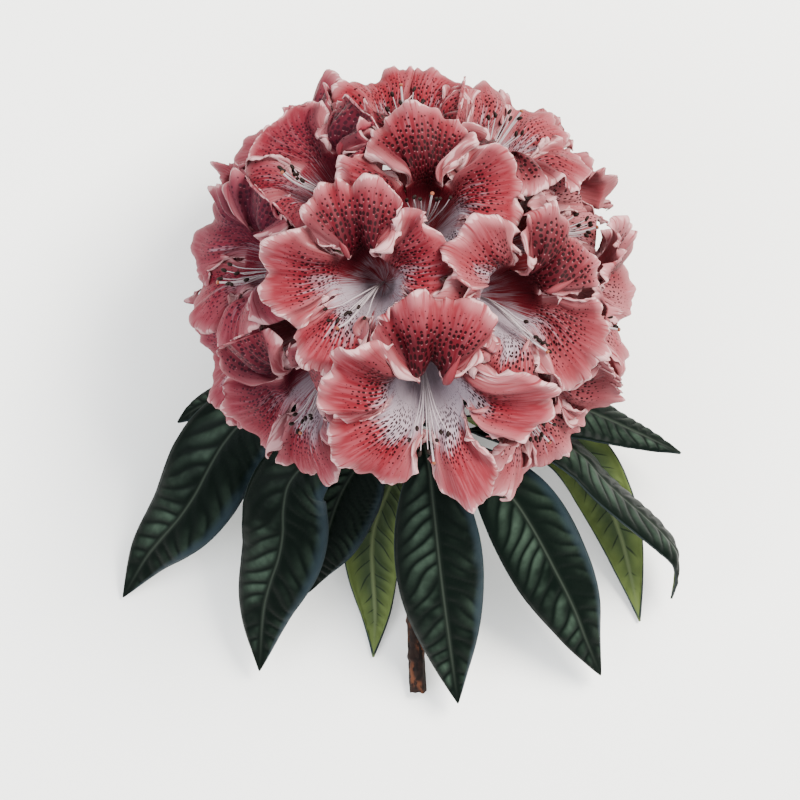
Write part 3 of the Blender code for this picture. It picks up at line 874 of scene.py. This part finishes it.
def add_lobe(bloom, number, index, settings):
    fine = settings.hind_share if bloom.way[2] < HIND else 1.0
    columns, rows = round(settings.columns * fine), round(settings.rows * fine)
    across = np.linspace(-1, 1, columns + 1)
    tube_count = rows // 5
    rng = np.random.default_rng(10 * number + index)
    lobe = grown_lobe(bloom, index)
    lobe = replace(
        lobe,
        width=lobe.width * rng.uniform(0.93, 1.07),
        reach=lobe.reach * rng.uniform(0.95, 1.04),
        curl=lobe.curl + rng.uniform(-18, 22),
    )
    tube = tube_rows(across, tube_count)
    blade, margin, forward = blade_rows(lobe, index, across, rows - tube_count, rng)
    in_tube = (tube[:, :, 2]).min(axis=1, keepdims=True) + 0 * across
    forward = np.concatenate((in_tube, forward))
    margin = np.concatenate((20 + 0 * in_tube, margin))
    local = np.concatenate((tube, blade))
    local, fold = crimp(local, lobe, index, across, margin, forward, bloom.pouch, settings.frill / MM, rng)
    turn = index * SECTOR + radians(bloom.drift[index]) * soft_step(forward, -2, 18)
    free = stand(bloom, turn, local)
    points = settle(free.reshape(-1, 3), bloom, PETAL_MARGIN, settings.thickness / MM).reshape(free.shape)
    marks = lobe_marks(index, across, margin, forward, bloom.white)
    # Painted shade, stronger the further a bloom faces left.
    marks["mauve"] = soft_step(-bloom.way[0], 0.1, 0.9) * rng.uniform(0.7, 1)
    # Painted light, stronger the further a bloom faces right.
    marks["glow"] = 0.4 * soft_step(bloom.way[0], 0.3, 0.9)
    marks["fold"] = fold
    spread = np.stack((across / 2 + 2 * index + 0 * forward, forward / 50 + 3 * number), axis=-1)
    return add_sheet(f"lobe_{index}", points, marks, spread)


class SHOOT_OT_corollas(bpy.types.Operator):
    """Models the corolla of each bloom"""

    bl_idname = "shoot.corollas"
    bl_label = "Corollas"

    def execute(self, context):
        settings = context.scene.shoot_petals
        finishes = petal_finish("petal_front", settings, True), petal_finish("petal_back", settings, False)
        for number, bloom in enumerate(BLOOMS, 1):
            lobes = [add_lobe(bloom, number, index, settings) for index in range(LOBES)]
            corolla = join(lobes, f"corolla_{number:02d}")
            dress(corolla, [f"bloom_{number:02d}"], finishes, 0.02, settings.thickness)
        return {"FINISHED"}


def stamen_path(bloom, spread, drop, rise):
    """From the tube's foot out of the throat, low in the funnel and turned up a little at its end."""
    aside = bloom.lean[0]
    knots = (
        (0.0, 0.0, -30.0),
        (0.10 * spread, -0.12 * drop - 1.0, -15.0),
        (0.30 * aside + 0.40 * spread, -0.42 * drop - 2.0, -1.0),
        (0.68 * aside + 0.75 * spread, -0.78 * drop - 1.5, 0.55 * rise),
        (aside + spread, -drop, rise),
    )
    return stand(bloom, 0.0, smooth_path(knots, 14))


def add_bead(name, middle, way, long, wide, groove):
    """A small closed body of rings round way, pinched by groove round its sides."""
    angle = np.linspace(0, pi, 9)
    path = np.asarray(middle) - np.outer(np.cos(angle), way) * long / 2
    path[0] -= way * 0.001
    path[-1] += way * 0.001
    columns = 10
    pinch = 1 - groove * np.cos(2 * round_turn(columns)) ** 8
    return add_tube(name, path, wide / 2 * np.sin(angle)[:, None] * pinch, columns)


class SHOOT_OT_stamens(bpy.types.Operator):
    """Models the stamens and the style of each bloom"""

    bl_idname = "shoot.stamens"
    bl_label = "Stamens"

    def execute(self, context):
        settings = context.scene.shoot_stamens
        filaments, anthers, stigmas = [], [], []
        for number, bloom in enumerate(BLOOMS, 1):
            rng = np.random.default_rng(STAMEN_SEED + number)
            for k in range(settings.count):
                share = 2 * k / (settings.count - 1) - 1
                spread = 8.5 * share + rng.uniform(-1.2, 1.2)
                reach = rng.uniform(0.62, 1.08) - 0.12 * share**2
                path = stamen_path(bloom, spread, bloom.lean[1] * reach, bloom.lean[2] * reach)
                radii = settings.radius / MM * np.linspace(1.3, 0.75, len(path))
                filaments.append(add_tube("filament", path, radii, 6))
                way = unit(unit(path[-1] - path[-3]) + rng.uniform(-0.6, 0.6, 3))
                anthers.append(add_bead("anther", path[-1] + way * 0.8, way, 2.9, 1.8, 0.25))
            path = stamen_path(bloom, rng.uniform(-3, 3), 1.15 * bloom.lean[1], 1.2 * bloom.lean[2])
            filaments.append(add_tube("style", path, np.linspace(0.7, 0.5, len(path)), 6))
            way = unit(path[-1] - path[-2])
            stigmas.append(add_bead("stigma", path[-1] + way * 0.4, way, 1.4, 1.9, 0.0))
        for name, made, shade, roughness in (
            ("filament", filaments, settings.filament, 0.5),
            ("anther", anthers, settings.anther, 0.6),
            ("stigma", stigmas, settings.stigma, 0.35),
        ):
            dress(join(made, name + "s"), (), [plain_finish(name, shade, roughness)])
        return {"FINISHED"}


def stalk_ends(bloom):
    """Where a stalk leaves the truss axis and where it meets its bloom's foot, as the solids have it."""
    foot = bloom.way * (bloom.throat - TUBE_LENGTH * bloom.size - SOLID_PETAL / 2 - JOINT_GAP)
    root = SHOOT * min(STALK_SPREAD * (bloom.way @ SHOOT), AXIS_DOME)
    way = unit(foot - root)
    along = way @ SHOOT
    across = np.sqrt(1 - along**2)
    if root @ SHOOT + AXIS_RADIUS * along / max(across, 0.01) > AXIS_DOME:
        root = SHOOT * AXIS_DOME
        across = 1.0
        way = unit(foot - root)
    start = root + way * (AXIS_RADIUS - 0.5) / across
    return start, foot


class SHOOT_OT_stalks(bpy.types.Operator):
    """Models the flower stalks, each with its calyx"""

    bl_idname = "shoot.stalks"
    bl_label = "Flower stalks"

    def execute(self, context):
        rows, columns = 26, 20
        share = np.linspace(0, 1, rows)
        teeth = 0.86 + 0.14 * np.cos(LOBES * round_turn(columns))
        stalks = []
        for bloom in BLOOMS:
            start, foot = stalk_ends(bloom)
            path = smooth_path((start, (start + foot) / 2, foot, foot + bloom.way * CALYX_DEPTH), rows)
            reach = np.linalg.norm(path - foot, axis=1) * np.sign((path - foot) @ bloom.way)
            cup = soft_step(reach, -1.6, CALYX_DEPTH)[:, None]
            radii = STALK_RADIUS * (1 + 0.9 * hill(share, 0, 0.10))[:, None]
            radii = radii + cup * (CALYX_RADIUS * teeth - STALK_RADIUS)
            stalks.append(add_tube("stalk", path, radii, columns))
        nodes = [f"stalk_{number:02d}" for number in range(1, len(BLOOMS) + 1)]
        dress(join(stalks, "flower_stalks"), nodes, [stalk_finish(context.scene.shoot_wood)])
        return {"FINISHED"}


def closed_rows(path, radii):
    """A tube's path and radii with a last ring of no size at each end."""
    path = np.vstack((path[:1], path, path[-1:]))
    way = unit(path[2] - path[1])
    path[0] = path[0] - way * 0.02
    path[-1] = path[-1] + unit(path[-2] - path[-3]) * 0.02
    nothing = np.zeros_like(radii[:1])
    return path, np.concatenate((nothing, radii, nothing))


class SHOOT_OT_axis(bpy.types.Operator):
    """Models the truss axis with the scars of its bud scales"""

    bl_idname = "shoot.axis"
    bl_label = "Truss axis"

    def execute(self, context):
        count, columns = 120, 32
        share = np.linspace(0, 1, count)
        place = AXIS_FOOT + (AXIS_TIP - AXIS_FOOT) * share
        path = np.outer(place, SHOOT)
        body = STEM_RADIUS + (AXIS_RADIUS - STEM_RADIUS) * soft_step(place, AXIS_FOOT, AXIS_DOME)
        tip = np.sqrt(np.clip(1 - (np.maximum(place - AXIS_DOME, 0) / AXIS_RADIUS) ** 2, 0, 1))
        scars = 0.25 * np.sin(place[:, None] * 1.3 + 3 * np.sin(round_turn(columns)))
        scars = scars * soft_step(place, -50, -30)[:, None]
        path, radii = closed_rows(path, (body * tip)[:, None] + scars * tip[:, None])
        piece = add_tube("truss_core", path, radii, columns)
        dress(piece, ["truss_axis"], [bpy.data.materials["stalk"]])
        return {"FINISHED"}


def stem_line(count):
    return smooth_path((SHOOT * (AXIS_FOOT - JOINT_GAP), STEM_BEND, CUT_END), count)


def leaf_frames(leaf, rows):
    """Points along a leaf's midrib, with the way across and the way its upper side looks at each."""
    line = stem_line(200)
    root = line[round(ROOT_SPACING * (leaf.row + 1) / np.linalg.norm(line[1] - line[0]))]
    side = cos(radians(leaf.turn)) * FRONT + sin(radians(leaf.turn)) * RIGHT
    start = root + side * (STEM_RADIUS + 2 * JOINT_GAP)
    knots = (start, start + side * PETIOLE_STAND - SHOOT * 1.5, *leaf.path)
    middle = smooth_path(knots, LEAF_KNOTS)
    tangent = np.gradient(middle, axis=0)
    tangent[0] = side
    tangent = units(tangent)
    blend = np.clip(np.linspace(0, 3, LEAF_KNOTS), 0, 1)[:, None]
    look = square_to(tangent, SHOOT * (1 - blend) + unit(leaf.face) * blend)
    curve = smooth_path(middle, rows + 1)
    along = units(np.gradient(curve, axis=0))
    look = square_to(along, read_off(np.linspace(0, 1, rows + 1), np.linspace(0, 1, LEAF_KNOTS), look))
    return curve, np.cross(along, look), look


def leaf_half_width(leaf, share):
    blade = np.clip((share - PETIOLE_SHARE) / (1 - PETIOLE_SHARE), 0, 1)
    outline = np.sin(pi * blade**0.9) ** 0.8 * (1 - 0.35 * blade**6)
    return PETIOLE_WIDTH / 2 * (1 - 0.8 * blade) + leaf.width / 2 * outline


def add_leaf(name, leaf, number, settings):
    """A leathery blade, sunken along its veins, with its margins turned down and a rib under its middle."""
    rows, columns = settings.rows, settings.columns
    rng = np.random.default_rng(LEAF_SEED + number)
    curve, sideways, look = leaf_frames(leaf, rows)
    share = np.linspace(0, 1, rows + 1)[:, None]
    across = np.linspace(-1, 1, columns + 1)[None, :]
    across = np.sign(across) * np.abs(across) ** 1.25
    long = np.linalg.norm(np.diff(curve, axis=0), axis=1).sum()
    half = leaf_half_width(leaf, share)
    lateral = across * half
    out = np.abs(lateral)
    blade = (share - PETIOLE_SHARE) / (1 - PETIOLE_SHARE)
    vein = (VEIN_LEAN * out + VEIN_BEND * out**2) / long
    phase = VEIN_PAIRS * (blade - vein) + np.where(across < 0, 0.5, 0)
    phase = phase + 0.25 * np.sin(2 * pi * (2.3 * share + rng.uniform()) + np.sign(across))
    phase = phase + 0.13 * np.sin(2 * pi * (6.1 * share + rng.uniform()) - np.sign(across) + 0.1 * out)
    quilt = np.abs(np.sin(pi * phase)) ** 0.8
    inner = soft_step(out, 0.6, 3) * soft_step(1 - np.abs(across), 0, 0.25) * soft_step(blade, 0.02, 0.12)
    inner = inner * soft_step(1 - blade, 0.01, 0.1)
    arch = LEAF_ARCH * np.maximum(half - PETIOLE_WIDTH, 0) * across**2
    edge_roll = 0.9 * soft_step(np.abs(across), 0.8, 1) * soft_step(blade, 0.05, 0.2)
    rib = hill(lateral, 0, 0.55) * soft_step(1.02 - share, 0, 0.25)
    ripple = 0.8 * np.sin(2 * pi * (2.6 * share + rng.uniform()) + 1.5 * np.sign(across))
    push = settings.relief / MM * (quilt - 0.5) * inner - arch - edge_roll - 0.45 * rib
    ripple = ripple * np.abs(across) ** 3
    push = push + ripple * soft_step(blade, 0.05, 0.3) * soft_step(1 - blade, 0, 0.2)
    points = curve[:, None] + lateral[..., None] * sideways[:, None] + push[..., None] * look[:, None]
    points[..., 2] = np.maximum(points[..., 2], FLOOR + settings.thickness / MM)
    marks = {"phase": phase, "inner": inner, "rib": rib, "margin": (1 - np.abs(across)) * half}
    spread = np.stack(np.broadcast_arrays(across / 2 + 0.5, share), axis=-1)
    return add_sheet(name, points, marks, spread)


class SHOOT_OT_leaves(bpy.types.Operator):
    """Models the whorl of leaves"""

    bl_idname = "shoot.leaves"
    bl_label = "Leaves"

    def execute(self, context):
        settings = context.scene.shoot_leaves
        finishes = leaf_finish(settings), underside_finish(settings)
        for number, leaf in enumerate(LEAVES, 1):
            piece = add_leaf(f"blade_{number:02d}", leaf, number, settings)
            dress(piece, [f"leaf_{number:02d}"], finishes, 0.002, settings.thickness)
        return {"FINISHED"}


class SHOOT_OT_stem(bpy.types.Operator):
    """Models the woody stem with its bark, leaf scars and ragged cut"""

    bl_idname = "shoot.stem"
    bl_label = "Stem"

    def execute(self, context):
        settings = context.scene.shoot_wood
        rows, columns = settings.rows, settings.columns
        rng = np.random.default_rng(STEM_SEED)
        path = stem_line(rows + 1)
        share = np.linspace(0, 1, rows + 1)[:, None]
        around = round_turn(columns)
        relief = 0 * share * around
        for turns, lengthwise, depth in BARK_WAVES:
            tilt = rng.uniform(0, 2 * pi, 2)
            wander = 2 * np.sin(lengthwise * share + tilt[1])
            relief = relief + depth * np.sin(turns * around + tilt[0] + wander)
        for _ in range(LEAF_SCARS):
            place, turn = rng.uniform(0.30, 0.97), rng.uniform(0, 2 * pi)
            away = np.abs((around - turn + pi) % (2 * pi) - pi)
            relief = relief + 0.55 * hill(share, place, 0.010) * hill(away, 0, 0.7)
            relief = relief - 0.45 * hill(share, place + 0.014, 0.006) * hill(away, 0, 0.55)
        relief = relief * soft_step(1 - share, 0, 0.02)
        radii = STEM_RADIUS - 0.15 + relief
        ragged = 0.6 * np.sin(3 * around + 1) + 0.35 * np.sin(7 * around)
        path, radii = closed_rows(path, radii)
        points = rolled(path, radii, columns)
        way = unit(path[-2] - path[-3])
        points[-2] += (ragged * 0.8)[:, None] * way
        points[..., 2] = np.maximum(points[..., 2], FLOOR + 0.05)
        cut = np.zeros(points.shape[:2])
        cut[-1] = 1
        piece = add_sheet("woody_stem", points, {"cut": cut}, plain_spread(points))
        dress(piece, ["stem"], [bark_finish(settings)])
        return {"FINISHED"}


class SHOOT_OT_stage(bpy.types.Operator):
    """Sets up the floor, the soft light and the camera that looks straight down"""

    bl_idname = "shoot.stage"
    bl_label = "Stage"

    def execute(self, context):
        settings = context.scene.shoot_stage
        bpy.ops.mesh.primitive_plane_add(size=12)
        floor = context.object
        floor.name = "floor"
        finish = Finish("floor", settings.floor, 0.9, 0.1)
        finish.cover(finish.noise(400) * 0.06, dimmed(settings.floor, 0.9))
        floor.data.materials.append(finish.material)

        world = bpy.data.worlds.new("studio")
        world.use_nodes = True
        sky = world.node_tree.nodes["Background"]
        sky.inputs["Color"].default_value = (0.93, 0.95, 1.0, 1)
        sky.inputs["Strength"].default_value = settings.fill
        context.scene.world = world

        heart = Vector(HEART) * MM
        for name, spot, size, power, tint in (
            ("key", (0.75, 0.55, 1.35), 0.7, settings.key, (1.0, 0.97, 0.92)),
            ("fill", (-1.1, -0.3, 1.1), 1.0, settings.key * 0.22, (0.90, 0.94, 1.0)),
        ):
            bpy.ops.object.light_add(type="AREA", location=heart + Vector(spot))
            lamp = context.object
            lamp.name = name
            lamp.data.size = size
            lamp.data.energy = power
            lamp.data.color = tint
            lamp.rotation_euler = (-Vector(spot)).to_track_quat("-Z", "Y").to_euler()

        middle = heart + Vector(VIEW_MIDDLE) * MM
        bpy.ops.object.camera_add(location=middle + Vector((0, 0, settings.height)), rotation=(0, 0, 0))
        camera = context.object
        camera.data.sensor_width = SENSOR
        camera.data.lens = SENSOR * settings.height / settings.view_width
        camera.data.clip_start, camera.data.clip_end = 0.1, 20
        context.scene.camera = camera
        return {"FINISHED"}


OPERATORS = (
    SHOOT_OT_corollas,
    SHOOT_OT_stamens,
    SHOOT_OT_stalks,
    SHOOT_OT_axis,
    SHOOT_OT_leaves,
    SHOOT_OT_stem,
    SHOOT_OT_stage,
)


class SHOOT_PT_panel(bpy.types.Panel):
    """Lists the pieces of the shoot and their settings"""

    bl_label = "Rhododendron Shoot"
    bl_idname = "SHOOT_PT_panel"
    bl_space_type = "VIEW_3D"
    bl_region_type = "UI"
    bl_category = "Rhododendron"

    def draw(self, context):
        for operator in OPERATORS:
            self.layout.operator(operator.bl_idname)
        for name, group in GROUPS.items():
            box = self.layout.box()
            for setting in group.__annotations__:
                box.prop(getattr(context.scene, name), setting)


def register():
    for made in (*GROUPS.values(), *OPERATORS, SHOOT_PT_panel):
        bpy.utils.register_class(made)
    for name, group in GROUPS.items():
        setattr(bpy.types.Scene, name, PointerProperty(type=group))


def unregister():
    for name in GROUPS:
        delattr(bpy.types.Scene, name)
    for made in reversed((*GROUPS.values(), *OPERATORS, SHOOT_PT_panel)):
        bpy.utils.unregister_class(made)


def main():
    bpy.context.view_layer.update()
    register()
    bpy.ops.shoot.corollas()
    bpy.ops.shoot.stamens()
    bpy.ops.shoot.stalks()
    bpy.ops.shoot.axis()
    bpy.ops.shoot.leaves()
    bpy.ops.shoot.stem()
    bpy.ops.shoot.stage()


if __name__ == "__main__":
    main()
